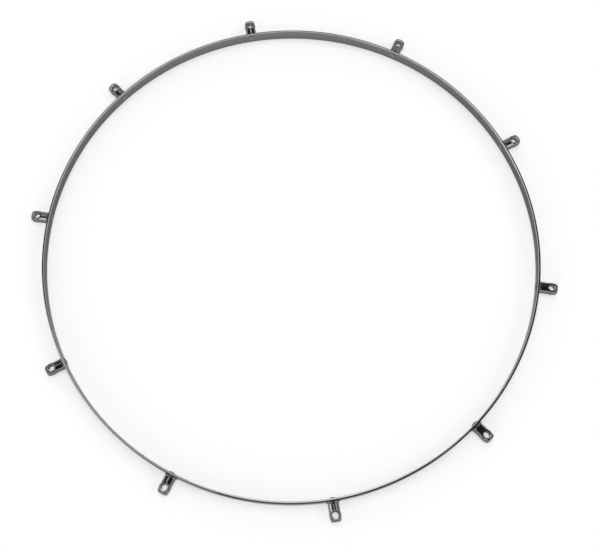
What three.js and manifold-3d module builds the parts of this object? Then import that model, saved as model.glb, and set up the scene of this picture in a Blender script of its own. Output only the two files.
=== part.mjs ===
// Counterhoop for a 22 inch drum. A flat steel bar is rolled into a ring, and cast ears are
// riveted round its outside. A tension rod passes down through each ear and pulls the hoop
// onto the drumhead.
// Millimetres, Z up. The origin is on the hoop's axis, level with its lower edge.
import * as THREE from 'three';
import { mergeVertices, toCreasedNormals } from 'three/addons/utils/BufferGeometryUtils.js';
import Module from 'manifold-3d';

const wasm = await Module();
wasm.setup();

// Driving dimensions of the hoop
const hoopDiameter = 573; // over the outside of the band
const bandThickness = 3;
const bandHeight = 16;
const edgeRadius = 1; // corners of the rolled bar
const earCount = 10;
const seatGap = 0.3; // between any two pieces that seat on each other

// Ear: a hollow casting with an arched top, set between the band's two edges
const earWidth = 12;
const earLift = 2.5; // underside above the band's lower edge
const crestDrop = 3; // crest below the band's upper edge
const crownShare = 4 / 7; // part of the ear's height that is arched
const noseRadius = 5; // top of the nose, seen from the side
const cornerRadius = 3.2; // corners of the nose, seen from above
const rimRadius = 0.6; // lower edges of the ear
const castingWall = 2;
const backWall = 2.5; // wall that the rivet holds to the band
const flareRadius = 1.8; // hollow curve where the foot spreads on to the band
const flareEdge = 0.4; // thickness of the foot's outer edge

// Rod hole with its boss and its seat
const rodHoleDiameter = 7;
const rodHoleReach = 14.3; // from the band's outer face to the hole's axis
const noseMargin = 7.2; // from the hole's axis to the end of the nose
const rodSeatDiameter = 10.5;
const rodSeatDepth = 1.5; // below the crest
const bossSwell = 0.5; // how far the boss stands out of each side of the ear

// Rivet: domed head inside the band, tail upset inside the ear
const shankDiameter = 3.2;
const rivetHeadDiameter = 8.5;
const rivetHeadHeight = 1.5;
const rivetRimHeight = 0.3; // straight edge of the head
const rivetTailHeight = 1.6;
const tailShare = 1.5; // tail diameter over shank diameter

// How finely round shapes are cut
const ringSegments = 140;
const cornerSegments = 3;
const archSegments = 12;
const noseSegments = 4;
const flareSegments = 2;
const holeSegments = 20;
const rivetSegments = 16;
const domeSegments = 3;
const tailSegments = 2;
const creaseAngle = THREE.MathUtils.degToRad(25);
const quarterTurn = Math.PI / 2;
const halfTurn = Math.PI;
const cutOverrun = 5; // how far a cutting solid runs past what it cuts

// Places that follow from the sizes above
const bandOuterRadius = hoopDiameter / 2;
const bandInnerRadius = bandOuterRadius - bandThickness;
const saddleRadius = bandOuterRadius + seatGap;
const rodRadius = bandOuterRadius + rodHoleReach;
const noseEnd = rodRadius + noseMargin;
const earHeight = bandHeight - earLift - crestDrop;
const crestHeight = earLift + earHeight;
const crownHeight = earHeight * crownShare;
const springHeight = crestHeight - crownHeight;
const bossRadius = earWidth / 2 + bossSwell;
const rodSeatHeight = crestHeight - rodSeatDepth;
const pocketWidth = earWidth - 2 * castingWall;
const pocketStart = saddleRadius + backWall;
const pocketCrown = crownHeight - castingWall;
const tailRadius = (shankDiameter * tailShare) / 2;
const rivetHeight = springHeight + pocketCrown - seatGap - tailRadius;

const bandChrome = { color: 0xc4c7cc, metalness: 1, roughness: 0.12 };
const earChrome = { color: 0xb9bcc2, metalness: 1, roughness: 0.14 };
const rivetSteel = { color: 0xaeb1b6, metalness: 1, roughness: 0.28 };

// Joining and cutting

function toSolid(geometry) {
  const bare = geometry.clone();
  bare.deleteAttribute('normal');
  bare.deleteAttribute('uv');
  const merged = mergeVertices(bare);
  return new wasm.Manifold(new wasm.Mesh({
    numProp: 3,
    vertProperties: new Float32Array(merged.attributes.position.array),
    triVerts: new Uint32Array(merged.index.array),
  }));
}

function toMesh(name, geometry, finish) {
  const material = new THREE.MeshStandardMaterial(finish);
  const mesh = new THREE.Mesh(toCreasedNormals(geometry, creaseAngle), material);
  mesh.name = name;
  return mesh;
}

function fromSolid(solid) {
  const { vertProperties, triVerts } = solid.getMesh();
  const geometry = new THREE.BufferGeometry();
  geometry.setAttribute('position', new THREE.BufferAttribute(vertProperties, 3));
  geometry.setIndex(new THREE.BufferAttribute(triVerts, 1));
  return geometry;
}

// Shapes that several pieces use

// Points of a quarter or half round, ellipse or circle
function round(x, y, xRadius, yRadius, from, to, segments) {
  return new THREE.EllipseCurve(x, y, xRadius, yRadius, from, to).getPoints(segments);
}

function extrude(points, depth) {
  return new THREE.ExtrudeGeometry(new THREE.Shape(points), { depth, bevelEnabled: false });
}

// A cylinder that stands on the hoop's axis or on a rod hole's axis
function uprightCylinder(radius, bottom, top, segments, x = 0) {
  const cylinder = new THREE.CylinderGeometry(radius, radius, top - bottom, segments);
  cylinder.rotateX(quarterTurn);
  cylinder.translate(x, 0, (bottom + top) / 2);
  return toSolid(cylinder);
}

// A cylinder that points out from the hoop's axis at the height of the rivets
function radialCylinder(radius, start, end, segments) {
  const cylinder = new THREE.CylinderGeometry(radius, radius, end - start, segments);
  cylinder.rotateZ(-quarterTurn);
  cylinder.translate((start + end) / 2, 0, rivetHeight);
  return toSolid(cylinder);
}

// Band: the flat bar's rounded section turned round the axis, with a hole for each rivet

function bandSection() {
  const left = bandInnerRadius + edgeRadius;
  const right = bandOuterRadius - edgeRadius;
  const low = edgeRadius;
  const high = bandHeight - edgeRadius;
  const corner = (x, y, from) => (
    round(x, y, edgeRadius, edgeRadius, from, from + quarterTurn, cornerSegments)
  );
  const section = [
    ...corner(right, low, -quarterTurn),
    ...corner(right, high, 0),
    ...corner(left, high, quarterTurn),
    ...corner(left, low, halfTurn),
  ];
  return [...section, section[0]];
}

function makeBand() {
  const ring = new THREE.LatheGeometry(bandSection(), ringSegments);
  ring.rotateX(quarterTurn);
  let solid = toSolid(ring);
  const start = bandInnerRadius - cutOverrun;
  const end = bandOuterRadius + cutOverrun;
  const rivetHole = radialCylinder(shankDiameter / 2 + seatGap, start, end, rivetSegments);
  for (let k = 0; k < earCount; k += 1) {
    solid = solid.subtract(rivetHole.rotate([0, 0, (360 * k) / earCount]));
  }
  return fromSolid(solid);
}

// Ear, made on the X axis: its arched section, its outline from above and its outline from
// the side are three extrusions, and the ear is what all three share

// The arched section of the given half width and arch height, from floor level upwards,
// run out along X
function archedBar(halfWidth, archHeight, floor, rim, start, end) {
  const section = [
    new THREE.Vector2(halfWidth - rim, floor),
    new THREE.Vector2(halfWidth, floor + rim),
    ...round(0, springHeight, halfWidth, archHeight, 0, halfTurn, archSegments),
    new THREE.Vector2(-halfWidth, floor + rim),
    new THREE.Vector2(rim - halfWidth, floor),
  ];
  const bar = extrude(section, end - start);
  const alongX = new THREE.Matrix4().makeBasis(
    new THREE.Vector3(0, 1, 0),
    new THREE.Vector3(0, 0, 1),
    new THREE.Vector3(1, 0, 0),
  );
  bar.applyMatrix4(alongX);
  bar.translate(start, 0, 0);
  return toSolid(bar);
}

// The ear seen from above, with the two round corners of its nose
function planBlock(start, halfWidth) {
  const x = noseEnd - cornerRadius;
  const y = halfWidth - cornerRadius;
  const plan = [
    new THREE.Vector2(start, -halfWidth),
    ...round(x, -y, cornerRadius, cornerRadius, -quarterTurn, 0, noseSegments),
    ...round(x, y, cornerRadius, cornerRadius, 0, quarterTurn, noseSegments),
    new THREE.Vector2(start, halfWidth),
  ];
  const block = extrude(plan, crestHeight + 2 * cutOverrun);
  block.translate(0, 0, -cutOverrun);
  return toSolid(block);
}

// The ear seen from the side, with the round top and the eased lower edge of its nose
function sideBlock(start) {
  const x = noseEnd - noseRadius;
  const z = crestHeight - noseRadius;
  const side = [
    new THREE.Vector2(start, earLift),
    new THREE.Vector2(noseEnd - rimRadius, earLift),
    new THREE.Vector2(noseEnd, earLift + rimRadius),
    ...round(x, z, noseRadius, noseRadius, 0, quarterTurn, noseSegments),
    new THREE.Vector2(start, crestHeight),
  ];
  const block = extrude(side, 2 * bossRadius);
  block.rotateX(quarterTurn);
  block.translate(0, bossRadius, 0);
  return toSolid(block);
}

// The foot that spreads on to the band. Its curve is turned about the ear's length over the
// arch, and drawn straight down beside the ear's upright sides.
function flaredFoot(start) {
  const halfWidth = earWidth / 2;
  const spread = halfWidth + flareRadius;
  const edge = saddleRadius + flareEdge;
  const end = edge + flareRadius;
  const turn = halfTurn + quarterTurn;
  const curve = round(spread, end, flareRadius, flareRadius, halfTurn, turn, flareSegments);
  const side = [new THREE.Vector2(spread, start), ...curve.reverse()];
  const profile = [new THREE.Vector2(0, start), ...side, new THREE.Vector2(0, end)];
  const turned = new THREE.LatheGeometry(profile, 2 * archSegments);
  turned.rotateZ(-quarterTurn);
  turned.scale(1, 1, crownHeight / halfWidth);
  turned.translate(0, 0, springHeight);
  const left = side.map((point) => new THREE.Vector2(point.y, point.x));
  const right = side.map((point) => new THREE.Vector2(point.y, -point.x));
  const floor = earLift + rimRadius;
  const drawn = extrude([...right, ...left.reverse()], springHeight - floor);
  drawn.translate(0, 0, floor);
  return toSolid(turned).trimByPlane([0, 0, 1], springHeight).add(toSolid(drawn));
}

// The hollow under the ear, between the back wall and the boss round the rod hole
function pocket() {
  const floor = earLift - cutOverrun;
  const hollow = archedBar(pocketWidth / 2, pocketCrown, floor, 0, pocketStart, rodRadius);
  const pillarRadius = rodSeatDiameter / 2;
  const pillar = uprightCylinder(pillarRadius, floor - cutOverrun, crestHeight, holeSegments, rodRadius);
  return hollow.subtract(pillar);
}

function makeEar() {
  const start = saddleRadius - cutOverrun;
  const bar = archedBar(earWidth / 2, crownHeight, earLift, rimRadius, start, noseEnd)
    .intersect(planBlock(start, earWidth / 2))
    .intersect(sideBlock(start));
  const boss = archedBar(bossRadius, crownHeight, earLift, rimRadius, start, noseEnd)
    .intersect(uprightCylinder(bossRadius, earLift, crestHeight, holeSegments, rodRadius))
    .intersect(sideBlock(start));
  const below = earLift - cutOverrun;
  const above = crestHeight + cutOverrun;
  const saddle = uprightCylinder(saddleRadius, below, above, ringSegments);
  const rodHole = uprightCylinder(rodHoleDiameter / 2, below, above, holeSegments, rodRadius);
  const rodSeat = uprightCylinder(rodSeatDiameter / 2, rodSeatHeight, above, holeSegments, rodRadius);
  const rivetHoleEnd = pocketStart + seatGap;
  const rivetHole = radialCylinder(shankDiameter / 2 + seatGap, start, rivetHoleEnd, rivetSegments);
  const body = bar.add(boss).add(flaredFoot(start)).subtract(saddle).subtract(pocket());
  return fromSolid(body.subtract(rodHole).subtract(rodSeat).subtract(rivetHole));
}

// Rivet, turned about the X axis: the head lies inside the band and the tail inside the ear

function makeRivet() {
  const headSeat = bandInnerRadius - seatGap;
  const tailSeat = pocketStart + seatGap;
  const headRadius = rivetHeadDiameter / 2;
  const domeBase = headSeat - rivetRimHeight;
  const domeHeight = rivetHeadHeight - rivetRimHeight;
  const profile = [
    ...round(0, domeBase, headRadius, domeHeight, -quarterTurn, 0, domeSegments),
    new THREE.Vector2(headRadius, headSeat),
    new THREE.Vector2(shankDiameter / 2, headSeat),
    new THREE.Vector2(shankDiameter / 2, tailSeat),
    ...round(0, tailSeat, tailRadius, rivetTailHeight, 0, quarterTurn, tailSegments),
  ];
  const rivet = new THREE.LatheGeometry(profile, rivetSegments);
  rivet.rotateZ(-quarterTurn);
  rivet.translate(0, 0, rivetHeight);
  return rivet;
}

// The hoop put together, with an ear and its rivet at each station round the band

const hoop = new THREE.Group();
hoop.add(toMesh('band', makeBand(), bandChrome));
const ear = makeEar();
const rivet = makeRivet();
for (let k = 0; k < earCount; k += 1) {
  const number = String(k + 1).padStart(2, '0');
  const station = new THREE.Group();
  station.rotation.z = (2 * Math.PI * k) / earCount;
  station.add(toMesh(`ear_${number}`, ear, earChrome));
  station.add(toMesh(`rivet_${number}`, rivet, rivetSteel));
  hoop.add(station);
}

export default hoop;
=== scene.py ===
import math

import bmesh
import bpy
from mathutils import Matrix, Vector


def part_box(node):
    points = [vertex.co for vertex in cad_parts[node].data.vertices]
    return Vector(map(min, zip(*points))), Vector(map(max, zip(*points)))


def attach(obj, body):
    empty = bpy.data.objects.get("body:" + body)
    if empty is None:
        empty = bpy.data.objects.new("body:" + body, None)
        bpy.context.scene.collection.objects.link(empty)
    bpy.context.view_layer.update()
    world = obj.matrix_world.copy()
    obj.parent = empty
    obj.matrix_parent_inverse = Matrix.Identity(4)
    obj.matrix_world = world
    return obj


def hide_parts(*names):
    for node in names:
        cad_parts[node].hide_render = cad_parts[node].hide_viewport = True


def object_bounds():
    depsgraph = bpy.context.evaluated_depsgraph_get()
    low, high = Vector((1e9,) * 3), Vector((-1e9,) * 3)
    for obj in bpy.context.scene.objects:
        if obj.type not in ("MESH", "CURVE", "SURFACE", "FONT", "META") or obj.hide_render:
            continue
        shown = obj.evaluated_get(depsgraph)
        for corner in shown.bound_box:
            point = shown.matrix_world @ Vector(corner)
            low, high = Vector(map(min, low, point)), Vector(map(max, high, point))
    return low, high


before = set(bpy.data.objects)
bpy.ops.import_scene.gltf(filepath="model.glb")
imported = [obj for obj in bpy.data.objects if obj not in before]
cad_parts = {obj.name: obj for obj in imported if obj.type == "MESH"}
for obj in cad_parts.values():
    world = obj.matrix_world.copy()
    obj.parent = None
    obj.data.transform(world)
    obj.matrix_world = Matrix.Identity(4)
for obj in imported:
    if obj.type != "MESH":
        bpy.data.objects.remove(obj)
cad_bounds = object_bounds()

# Camera. It looks down into the ring from one side, about 19 degrees off the hoop's axis,
# from a little over a metre up. The hoop lies turned by a few degrees under it.
hoop_turn = math.radians(9.1)
camera_place = Vector((0.0708, -0.3920, 1.1904))
camera_target = Vector((-0.0352, 0.0142, 0.0))
far_side = Vector((-math.sin(hoop_turn), math.cos(hoop_turn), 0.0))
focal_pixels = 1076.5
optical_axis_pixel = (261.5, 238.0)
photo_size = (600, 546)
sensor_width = 36.0

camera = bpy.data.objects.new("camera", bpy.data.cameras.new("camera"))
bpy.context.scene.collection.objects.link(camera)
bpy.context.scene.camera = camera
camera.data.sensor_width = sensor_width
camera.data.lens = focal_pixels / photo_size[0] * sensor_width
camera.data.shift_x = 0.5 - optical_axis_pixel[0] / photo_size[0]
camera.data.shift_y = (optical_axis_pixel[1] - photo_size[1] / 2) / photo_size[0]
camera.data.clip_start = 0.01
camera.data.clip_end = 100.0
backward = (camera_place - camera_target).normalized()
rightward = far_side.cross(backward).normalized()
upward = backward.cross(rightward)
camera_axes = Matrix((rightward, upward, backward)).transposed()
camera.matrix_world = Matrix.Translation(camera_place) @ camera_axes.to_4x4()
bpy.context.scene.view_settings.view_transform = "Standard"


# Studio. The hoop lies on a wide white floor in a dark room, with a low white wall all round
# it. Three softboxes hang high over the far side, and five stand lower round the hoop. The
# floor adds a glow of its own in direct view and in reflections.
class Wire:
    """A socket in a node tree. Arithmetic on it adds Math nodes, and node() adds any other."""

    def __init__(self, tree, socket=None):
        self.tree = tree
        self.socket = socket

    def node(self, kind, settings, inputs, output=0):
        made = self.tree.nodes.new(kind)
        for name, value in settings.items():
            setattr(made, name, value)
        for name, value in inputs.items():
            if isinstance(value, Wire):
                self.tree.links.new(value.socket, made.inputs[name])
            else:
                made.inputs[name].default_value = value
        return Wire(self.tree, made.outputs[output]) if made.outputs else made

    def split(self, vector):
        parts = self.node("ShaderNodeSeparateXYZ", {}, {"Vector": vector}).socket.node
        return [Wire(self.tree, parts.outputs[axis]) for axis in "XYZ"]

    def math(self, operation, first, second=0.0):
        return self.node("ShaderNodeMath", {"operation": operation}, {0: first, 1: second})

    def __add__(self, other):
        return self.math("ADD", self, other)

    def __rsub__(self, other):
        return self.math("SUBTRACT", other, self)

    def __mul__(self, other):
        return self.math("MULTIPLY", self, other)

    def __truediv__(self, other):
        return self.math("DIVIDE", self, other)

    __radd__ = __add__
    __rmul__ = __mul__


def blank_material(name):
    material = bpy.data.materials.new(name)
    material.use_nodes = True
    material.node_tree.nodes.clear()
    return material, Wire(material.node_tree)


floor_white = (0.95, 0.95, 0.95, 1.0)
floor_glow = 0.6
floor_reach = 12.0
floor_steps = 128
pure_white = (1.0, 1.0, 1.0, 1.0)
room_dark = 0.05
wall_white = 0.8
wall_top = math.radians(9)
zenith = math.pi / 2
softbox_edge = math.radians(3)
softboxes = {  # azimuths from the picture's right and elevations, in degrees, and light
    "high": (71, 107, 67, 81, 3.4),
    "high_wide": (62, 123, 56, 90, 1.6),
    "high_left": (140, 162, 66, 84, 2.6),
    "left": (181, 191, 0, 37, 2.8),
    "far": (73, 121, 14, 39, 1.1),
    "right": (-16, 18, 26, 54, 1.5),
    "near_left": (236, 246, 9, 46, 2.9),
    "near_right": (315, 325, 0, 37, 2.2),
}


def soft_step(wire, value, low, high):
    return wire.node("ShaderNodeMapRange", {"interpolation_type": "SMOOTHSTEP"}, {
        "Value": value, "From Min": low, "From Max": high, "To Min": 0.0, "To Max": 1.0})


def light_studio():
    world = bpy.data.worlds.new("studio")
    bpy.context.scene.world = world
    world.use_nodes = True
    world.node_tree.nodes.clear()
    wire = Wire(world.node_tree)
    coordinates = wire.node("ShaderNodeTexCoord", {}, {}, "Generated")
    turned = wire.node("ShaderNodeMapping", {"vector_type": "POINT"}, {
        "Vector": coordinates, "Rotation": (0.0, 0.0, -hoop_turn)})
    x, y, z = wire.split(turned)
    level = wire.math("SQRT", x * x + y * y)
    wall = 1.0 - soft_step(wire, z, math.sin(wall_top - softbox_edge), math.sin(wall_top))
    light = wall * wall_white + room_dark
    for left, right, low, high, power in softboxes.values():
        middle, half = math.radians((left + right) / 2), math.radians((right - left) / 2)
        facing = (x * math.cos(middle) + y * math.sin(middle)) / level
        across = soft_step(wire, facing, math.cos(half + softbox_edge), math.cos(half - softbox_edge))
        bottom, top = math.radians(low), math.radians(high)
        above = soft_step(wire, z, math.sin(bottom - softbox_edge), math.sin(bottom + softbox_edge))
        fade_end = min(top + softbox_edge, zenith)
        below = 1.0 - soft_step(wire, z, math.sin(top - softbox_edge), math.sin(fade_end))
        light = light + across * above * below * power
    background = wire.node("ShaderNodeBackground", {}, {"Color": pure_white, "Strength": light})
    wire.node("ShaderNodeOutputWorld", {}, {"Surface": background})


def lay_floor():
    bm = bmesh.new()
    bmesh.ops.create_circle(bm, cap_ends=True, segments=floor_steps, radius=floor_reach)
    bmesh.ops.translate(bm, verts=bm.verts, vec=(0, 0, cad_bounds[0][2]))
    mesh = bpy.data.meshes.new("floor")
    bm.to_mesh(mesh)
    bm.free()
    floor = bpy.data.objects.new("floor", mesh)
    bpy.context.scene.collection.objects.link(floor)
    paper, wire = blank_material("white_floor")
    rays = wire.node("ShaderNodeLightPath", {}, {}).socket.node.outputs
    direct, mirrored, through = (
        Wire(wire.tree, rays[f"Is {kind} Ray"]) for kind in ("Camera", "Glossy", "Transmission"))
    shown = wire.math("MAXIMUM", wire.math("MAXIMUM", direct, mirrored), through)
    diffuse = wire.node("ShaderNodeBsdfDiffuse", {}, {"Color": floor_white})
    glow = wire.node("ShaderNodeEmission", {}, {"Color": pure_white, "Strength": shown * floor_glow})
    surface = wire.node("ShaderNodeAddShader", {}, {0: diffuse, 1: glow})
    wire.node("ShaderNodeOutputMaterial", {}, {"Surface": surface})
    mesh.materials.append(paper)


light_studio()
lay_floor()

# Band. A flat bar of mild steel rolled into a ring and butt welded, with its corners eased.
# It is polished along its length and chrome plated. Its lower edge presses the drumhead.
band_low, band_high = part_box("band")
band_outer = band_high.x
band_thickness = 0.003
band_corner = 0.0006
band_inner = band_outer - band_thickness
band_steps = 720
bevel_steps = 6
same_place = 1e-6
sharp_angle = math.radians(32)
rivet_hole = 0.0019
rivet_height = 0.0083
drill_overrun = 0.002
pin_steps = 48
ear_nodes = sorted(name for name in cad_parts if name.startswith("ear_"))
ear_turn = 2 * math.pi / len(ear_nodes)
rolling_stretch = 0.03
chrome_tint = (0.195, 0.2, 0.21, 1.0)
chrome_edge = (0.45, 0.45, 0.45, 1.0)  # at a grazing angle


def finished(name, bm, materials):
    """Makes the object of a closed mesh, with its sharp edges marked."""
    bmesh.ops.remove_doubles(bm, verts=bm.verts, dist=same_place)
    bmesh.ops.recalc_face_normals(bm, faces=bm.faces)
    mesh = bpy.data.meshes.new(name)
    bm.to_mesh(mesh)
    bm.free()
    mesh.shade_smooth()
    mesh.set_sharp_from_angle(angle=sharp_angle)
    for material in materials:
        mesh.materials.append(material)
    piece = bpy.data.objects.new(name, mesh)
    bpy.context.scene.collection.objects.link(piece)
    return piece


def drilled(piece, cutter):
    """Cuts the closed shells of one mesh out of a piece, and marks the new sharp edges."""
    cut = piece.modifiers.new("cut", "BOOLEAN")
    cut.operation = "DIFFERENCE"
    cut.solver = "EXACT"
    cut.use_self = True
    cut.object = cutter
    evaluated = piece.evaluated_get(bpy.context.evaluated_depsgraph_get())
    mesh = bpy.data.meshes.new_from_object(evaluated)
    mesh.set_sharp_from_angle(angle=sharp_angle)
    piece.modifiers.clear()
    piece.data = mesh
    bpy.data.objects.remove(cutter)


def radial_pin(bm, radius, start, end, height):
    """A pin that points straight out from the hoop's axis, over the X axis."""
    made = bmesh.ops.create_cone(
        bm, cap_ends=True, segments=pin_steps, radius1=radius, radius2=radius, depth=end - start)["verts"]
    bmesh.ops.rotate(bm, verts=made, cent=(0, 0, 0), matrix=Matrix.Rotation(math.pi / 2, 3, "Y"))
    bmesh.ops.translate(bm, verts=made, vec=((start + end) / 2, 0, height))
    return made


def ring_chrome():
    material, wire = blank_material("ring_chrome")
    place = wire.node("ShaderNodeTexCoord", {}, {}, "Object")
    x, y, z = wire.split(place)
    along = wire.math("ARCTAN2", y, x) * band_outer
    across = wire.math("SQRT", x * x + y * y)
    rolled = wire.node("ShaderNodeCombineXYZ", {}, {
        "X": along * rolling_stretch, "Y": across, "Z": z})
    lines = wire.node("ShaderNodeTexNoise", {}, {"Vector": rolled, "Scale": 4000.0, "Detail": 3.0})
    smudge = wire.node("ShaderNodeTexNoise", {}, {"Vector": place, "Scale": 35.0, "Detail": 4.0})
    wave = wire.node("ShaderNodeTexNoise", {}, {"Vector": place, "Scale": 18.0, "Detail": 1.0})
    ripple = wire.node("ShaderNodeBump", {}, {
        "Height": wave, "Strength": 1.0, "Distance": 0.00025})
    grain = wire.node("ShaderNodeBump", {}, {
        "Height": lines, "Strength": 0.25, "Distance": 0.000004, "Normal": ripple})
    skin = wire.node("ShaderNodeBsdfPrincipled", {}, {
        "Base Color": chrome_tint, "Specular Tint": chrome_edge, "Metallic": 1.0,
        "Roughness": 0.03 + 0.05 * smudge + 0.04 * lines, "Normal": grain})
    wire.node("ShaderNodeOutputMaterial", {}, {"Surface": skin})
    return material


def make_band():
    bm = bmesh.new()
    section = [bm.verts.new((radius, 0, height)) for radius, height in (
        (band_inner, band_low.z), (band_outer, band_low.z),
        (band_outer, band_high.z), (band_inner, band_high.z))]
    bm.faces.new(section)
    bmesh.ops.bevel(
        bm, geom=section, offset=band_corner, affect="VERTICES",
        segments=bevel_steps, profile=0.5, material=-1)
    bmesh.ops.delete(bm, geom=bm.faces[:], context="FACES_ONLY")
    bmesh.ops.spin(
        bm, geom=bm.verts[:] + bm.edges[:], cent=(0, 0, 0), axis=(0, 0, 1), dvec=(0, 0, 0),
        angle=2 * math.pi, steps=band_steps, use_merge=True)
    ring = finished("rolled_band", bm, [ring_chrome()])
    drills = bmesh.new()
    for k in range(len(ear_nodes)):
        drill = radial_pin(
            drills, rivet_hole, band_inner - drill_overrun, band_outer + drill_overrun, rivet_height)
        turn = Matrix.Rotation(ear_turn * k, 3, "Z")
        bmesh.ops.rotate(drills, verts=drill, cent=(0, 0, 0), matrix=turn)
    drilled(ring, finished("drills", drills, []))
    return ring


band = make_band()
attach(band, "root")
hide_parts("band")

# Ears. Each is a hollow die casting with an arched top, polished and plated bright. Its foot
# spreads on to the band. A tension rod passes down through the boss at its outer end, and
# the rod's washer bears on a flat seat cut into the crown.
seat_gap = 0.00003
rod_reach = 0.0143
nose_reach = 0.0072
boss_reach = 0.0075
boss_swell = 0.0005
seat_depth = 0.0015
foot_wall = 0.0028
ear_half = 0.006
ear_bottom = 0.0025
crest_top = 0.013
spring_line = 0.007
crown = crest_top - spring_line
foot_start = band_outer + seat_gap
rod_place = band_outer + rod_reach
nose_end = rod_place + nose_reach
nose_radius = 0.005
nose_corner = 0.0032
rim_radius = 0.0006
flare_radius = 0.0018
flare_edge = 0.0004
foot_overrun = 0.001
boss_radius = ear_half + boss_swell
rod_hole = 0.0035
seat_radius = 0.00525
seat_height = crest_top - seat_depth
edge_round = 0.0003
boss_zone = rod_place - boss_reach
pocket_half = 0.004
pocket_start = band_outer + foot_wall
pocket_crown = 0.004
pocket_stop = 0.003  # the pocket keeps further than this from the rod's axis
pocket_margin = 0.0001
hole_overrun = 0.0005
foot_cut_height = 0.1
level_slack = 1e-5
step_rise = 0.001
flat_normal = 0.99
under_height = 0.003
arch_steps = 48
side_steps = 20
corner_steps = 10
nose_steps = 6
crown_rings = 12
foot_steps = 6
flare_steps = 8
rim_steps = 4
search_steps = 40
casting_dark = (0.16, 0.16, 0.16, 1.0)
casting_light = (0.3, 0.3, 0.31, 1.0)
mixed_colour = 2  # the place of the colour among a Mix node's outputs


def half_width_at(x):
    """Half the ear's width: rounded corners at the nose, and the boss swelling at the rod."""
    into_corner = min(max(x - (nose_end - nose_corner), 0.0), nose_corner)
    body = ear_half - nose_corner + math.sqrt(nose_corner**2 - into_corner**2)
    return max(body, math.sqrt(max(0.0, boss_radius**2 - (x - rod_place) ** 2)))


def crown_at(x, y):
    """Height of the arched top outside the seat."""
    into_nose = min(max(x - (nose_end - nose_radius), 0.0), nose_radius)
    crest = crest_top - nose_radius + math.sqrt(nose_radius**2 - into_nose**2)
    across = min(abs(y) / half_width_at(x), 1.0)
    return spring_line + (crest - spring_line) * math.sqrt(1 - across**2)


def boss_outline():
    """Points round the boss end, seen from above, from the middle of its inner side."""
    turns = [math.pi * (k / arch_steps - 0.5) for k in range(arch_steps + 1)]
    inner = [(boss_zone, -ear_half * math.sin(turn)) for turn in turns]
    corner = nose_end - nose_corner
    lengths = [boss_zone + (corner - boss_zone) * k / side_steps for k in range(1, side_steps + 1)]
    side = [(x, -half_width_at(x)) for x in lengths]
    bends = [math.pi / 2 * k / corner_steps for k in range(1, corner_steps + 1)]
    bend = [
        (corner + nose_corner * math.sin(turn), nose_corner - ear_half - nose_corner * math.cos(turn))
        for turn in bends]
    half_nose = ear_half - nose_corner
    nose = [(nose_end, half_nose * (2 * k / nose_steps - 1)) for k in range(1, nose_steps)]
    right = side + bend
    return inner + right + nose + [(x, -y) for x, y in reversed(right)]


def boss_profile(x, y):
    """The way up out of the rod hole, over the seat and its edge and down to a point of the
    outline, as points of one upright plane."""
    reach = math.hypot(x - rod_place, y)
    out = Vector(((x - rod_place) / reach, y / reach, 0))

    def top(radius):
        return crown_at(rod_place + out.x * radius, out.y * radius)

    low, high = rod_hole, seat_radius
    if top(high) < seat_height:
        for _ in range(search_steps):
            middle = (low + high) / 2
            low, high = (middle, high) if top(middle) > seat_height else (low, middle)
    seat_edge = high
    wall = max(top(seat_edge) - seat_height, 0.0)
    corner = Vector((seat_edge, seat_height + wall))
    if wall > edge_round:
        start, inner = Vector((seat_edge, corner.y - edge_round)), Vector((seat_edge, seat_height))
    else:
        start = inner = Vector((seat_edge - (edge_round - wall), seat_height))
    end = Vector((seat_edge + edge_round, top(seat_edge + edge_round)))
    lip = []
    for turn in (0, math.pi / 6, math.pi / 3, math.pi / 2):
        inward, down = 1 - math.cos(turn), 1 - math.sin(turn)
        lip.append(Vector((rod_hole + edge_round * inward, seat_height - edge_round * down)))
    rolled = [start.lerp(corner, t).lerp(corner.lerp(end, t), t) for t in (0, 0.25, 0.5, 0.75, 1)]
    profile = lip + [lip[-1].lerp(inner, 0.5), inner] + rolled
    for k in range(1, crown_rings + 1):
        radius = reach - (reach - end.x) * (1 - k / crown_rings) ** 2
        profile.append(Vector((radius, top(radius))))
    return [Vector((rod_place, 0, 0)) + out * point.x + Vector((0, 0, point.y)) for point in profile]


def foot_station(x, spread, side):
    """A point of the arch near the band, with side from -1 to 1 across it."""
    half = ear_half + spread
    height = half * crown / ear_half * math.sqrt(max(0.0, 1 - side**2))
    return Vector((x, half * side, spring_line + height))


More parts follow.
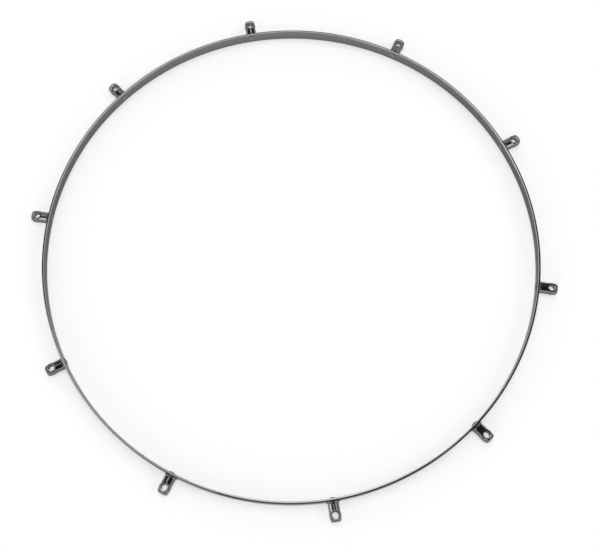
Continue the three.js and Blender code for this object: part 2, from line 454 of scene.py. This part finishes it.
def make_ear_shell():
    bm = bmesh.new()
    place = bm.verts.layers.int.new("place")

    def drawn_out(edges, where):
        """Extrudes edges, and moves each new corner to where() of its place round the boss."""
        made = bmesh.ops.extrude_edge_only(bm, edges=edges)["geom"]
        for vert in made:
            if isinstance(vert, bmesh.types.BMVert):
                vert.co = where(vert)
        return [edge for edge in made if isinstance(edge, bmesh.types.BMEdge)]

    outline = boss_outline()
    profiles = [boss_profile(x, y) for x, y in outline]
    hole = bmesh.ops.create_circle(bm, segments=len(outline), radius=rod_hole)["verts"]
    for k, vert in enumerate(hole):
        vert[place] = k
        vert.co = profiles[k][0]
        vert.co.z = ear_bottom
    edges = bm.edges[:]
    for ring in range(len(profiles[0])):
        edges = drawn_out(edges, lambda vert: profiles[vert[place]][ring])

    arch = [edge for edge in edges if all(vert[place] <= arch_steps for vert in edge.verts)]
    bends = [math.pi / 2 * (1 - k / flare_steps) for k in range(flare_steps + 1)]
    edge = foot_start + flare_edge
    curve = [(edge + flare_radius * (1 - math.cos(turn)), flare_radius * (1 - math.sin(turn)))
             for turn in bends]
    straight = boss_zone - curve[0][0]
    stations = [(curve[0][0] + straight * (1 - k / foot_steps), 0.0) for k in range(1, foot_steps)]
    stations += curve
    stations += [(edge - flare_edge / 4, flare_radius), (foot_start - foot_overrun, flare_radius)]
    for x, spread in stations:
        arch = drawn_out(arch, lambda vert: foot_station(
            x, spread, -math.sin(math.pi * (vert[place] / arch_steps - 0.5))))

    foot = set(arch)
    wall = [
        edge for edge in bm.edges if edge.is_boundary and edge not in foot
        and min(vert.co.z for vert in edge.verts) > spring_line - level_slack]
    rim = drawn_out(wall, lambda vert: Vector((vert.co.x, vert.co.y, ear_bottom)))
    corners = {vert for edge in rim for vert in edge.verts}
    heel = bm.edges.new([vert for vert in corners if sum(edge in rim for edge in vert.link_edges) == 1])
    sides = [
        edge for edge in bm.edges if edge.is_boundary and edge not in foot and edge not in rim
        and abs(edge.verts[0].co.z - edge.verts[1].co.z) > step_rise]
    bmesh.ops.contextual_create(bm, geom=list(foot) + sides + [heel])
    bmesh.ops.contextual_create(bm, geom=rim + [heel])
    bmesh.ops.recalc_face_normals(bm, faces=bm.faces)
    eased = [edge for edge in rim if min(vert.co.x for vert in edge.verts) > curve[0][0] - level_slack]
    bmesh.ops.bevel(
        bm, geom=eased, offset=rim_radius, affect="EDGES", segments=rim_steps, profile=0.5, material=-1)
    level = [
        face for face in bm.faces
        if abs(face.normal.z) > flat_normal and face.calc_center_median().z < under_height]
    underside = max(level, key=lambda face: face.calc_area())
    opened = list(underside.edges)
    bmesh.ops.delete(bm, geom=[underside], context="FACES_ONLY")
    hole_rim = [edge for edge in bm.edges if edge.is_boundary and edge not in opened]
    bmesh.ops.triangle_fill(
        bm, use_beauty=True, use_dissolve=False, edges=opened + hole_rim, normal=(0, 0, -1))
    return bm


def ear_chrome():
    material, wire = blank_material("ear_chrome")
    place = wire.node("ShaderNodeTexCoord", {}, {}, "Object")
    smudge = wire.node("ShaderNodeTexNoise", {}, {"Vector": place, "Scale": 140.0, "Detail": 4.0})
    wave = wire.node("ShaderNodeTexNoise", {}, {"Vector": place, "Scale": 90.0, "Detail": 1.0})
    ripple = wire.node("ShaderNodeBump", {}, {"Height": wave, "Strength": 1.0, "Distance": 0.00006})
    skin = wire.node("ShaderNodeBsdfPrincipled", {}, {
        "Base Color": chrome_tint, "Specular Tint": chrome_edge, "Metallic": 1.0,
        "Roughness": 0.03 + 0.06 * smudge, "Normal": ripple})
    wire.node("ShaderNodeOutputMaterial", {}, {"Surface": skin})
    return material


def casting_skin():
    material, wire = blank_material("casting_skin")
    place = wire.node("ShaderNodeTexCoord", {}, {}, "Object")
    grit = wire.node("ShaderNodeTexNoise", {}, {"Vector": place, "Scale": 1500.0, "Detail": 3.0})
    dark = wire.node("ShaderNodeMix", {"data_type": "RGBA"}, {
        "Factor": grit, "A": casting_dark, "B": casting_light}, mixed_colour)
    pits = wire.node("ShaderNodeBump", {}, {"Height": grit, "Strength": 0.5, "Distance": 0.0001})
    skin = wire.node("ShaderNodeBsdfPrincipled", {}, {
        "Base Color": dark, "Metallic": 0.9, "Roughness": 0.4 + 0.2 * grit, "Normal": pits})
    wire.node("ShaderNodeOutputMaterial", {}, {"Surface": skin})
    return material


def ear_cutter():
    """The hollow under the ear, which is an arched bar that stops short of the boss round the
    rod, with the rivet's hole and the band that the foot is cut to fit."""
    bm = bmesh.new()
    reach = rod_place - pocket_start
    made = radial_pin(bm, pocket_half, pocket_start, pocket_start + reach, spring_line)
    for vert in made:
        if vert.co.z < spring_line - same_place:
            vert.co.z = ear_bottom - drill_overrun
            vert.co.y = math.copysign(pocket_half, vert.co.y) if abs(vert.co.y) > same_place else 0.0
        if vert.co.x > rod_place - same_place:
            vert.co.x = rod_place - math.sqrt(seat_radius**2 - vert.co.y**2)
    bmesh.ops.remove_doubles(bm, verts=bm.verts, dist=same_place)
    radial_pin(bm, rivet_hole, foot_start - drill_overrun, pocket_start + hole_overrun, rivet_height)
    bmesh.ops.create_cone(
        bm, cap_ends=True, segments=band_steps, radius1=foot_start, radius2=foot_start,
        depth=foot_cut_height)
    return finished("ear_cutter", bm, [])


def in_pocket(centre):
    return (
        pocket_start - pocket_margin < centre.x < rod_place - pocket_stop
        and abs(centre.y) < pocket_half + pocket_margin
        and ear_bottom + pocket_margin < centre.z < spring_line + pocket_crown + pocket_margin)


def make_ears():
    first = finished(ear_nodes[0] + "_casting", make_ear_shell(), [ear_chrome(), casting_skin()])
    drilled(first, ear_cutter())
    for polygon in first.data.polygons:
        polygon.material_index = int(in_pocket(polygon.center))
    ears = [first]
    for k, node in enumerate(ear_nodes[1:], start=1):
        ear = bpy.data.objects.new(node + "_casting", first.data.copy())
        ear.data.transform(Matrix.Rotation(ear_turn * k, 4, "Z"))
        bpy.context.scene.collection.objects.link(ear)
        ears.append(ear)
    return ears


for ear, node in zip(make_ears(), ear_nodes):
    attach(ear, "root")
    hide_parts(node)

# Rivets. Steel, nickel plated and a little dull. Each has a low domed head inside the band,
# and its tail is upset in the hollow of the ear to draw the ear's foot against the band.
rivet_nodes = sorted(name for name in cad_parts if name.startswith("rivet_"))
head_radius = 0.00425
head_height = 0.0015
head_rim = 0.0003
shank_radius = 0.0016
tail_radius = 0.0024
tail_height = 0.0016
dome_steps = 10
nickel_dark = (0.18, 0.178, 0.174, 1.0)
nickel_light = (0.26, 0.257, 0.25, 1.0)


def rivet_nickel():
    material, wire = blank_material("rivet_nickel")
    place = wire.node("ShaderNodeTexCoord", {}, {}, "Object")
    smudge = wire.node("ShaderNodeTexNoise", {}, {"Vector": place, "Scale": 500.0, "Detail": 4.0})
    tint = wire.node("ShaderNodeMix", {"data_type": "RGBA"}, {
        "Factor": smudge, "A": nickel_dark, "B": nickel_light}, mixed_colour)
    skin = wire.node("ShaderNodeBsdfPrincipled", {}, {
        "Base Color": tint, "Specular Tint": chrome_edge, "Metallic": 1.0,
        "Roughness": 0.1 + 0.12 * smudge})
    wire.node("ShaderNodeOutputMaterial", {}, {"Surface": skin})
    return material


def make_rivet_mesh():
    bm = bmesh.new()
    seat = band_inner - seat_gap
    dome = head_height - head_rim
    sphere = (head_radius**2 + dome**2) / (2 * dome)
    spread = math.asin(head_radius / sphere)
    crown_point = bm.verts.new((seat - head_height, 0, rivet_height))
    bmesh.ops.spin(
        bm, geom=[crown_point], cent=(seat - head_height + sphere, 0, rivet_height), axis=(0, 1, 0),
        dvec=(0, 0, 0), angle=spread, steps=dome_steps)
    last = max(bm.verts, key=lambda vert: abs(vert.co.z - rivet_height))
    side = 1 if last.co.z > rivet_height else -1
    tail_seat = pocket_start + seat_gap
    turns = [math.pi / 2 * k / dome_steps for k in range(dome_steps + 1)]
    outline = [(seat, head_radius), (seat, shank_radius), (tail_seat, shank_radius)]
    outline += [
        (tail_seat + tail_height * math.sin(turn), tail_radius * math.cos(turn)) for turn in turns]
    for x, radius in outline:
        point = bm.verts.new((x, 0, rivet_height + side * radius))
        bm.edges.new((last, point))
        last = point
    bmesh.ops.spin(
        bm, geom=bm.verts[:] + bm.edges[:], cent=(0, 0, rivet_height), axis=(1, 0, 0), dvec=(0, 0, 0),
        angle=2 * math.pi, steps=pin_steps, use_merge=True)
    return bm


first_rivet = finished(rivet_nodes[0] + "_set", make_rivet_mesh(), [rivet_nickel()])
for k, node in enumerate(rivet_nodes):
    rivet = first_rivet
    if k:
        rivet = bpy.data.objects.new(node + "_set", first_rivet.data.copy())
        rivet.data.transform(Matrix.Rotation(ear_turn * k, 4, "Z"))
        bpy.context.scene.collection.objects.link(rivet)
    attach(rivet, "root")
    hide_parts(node)
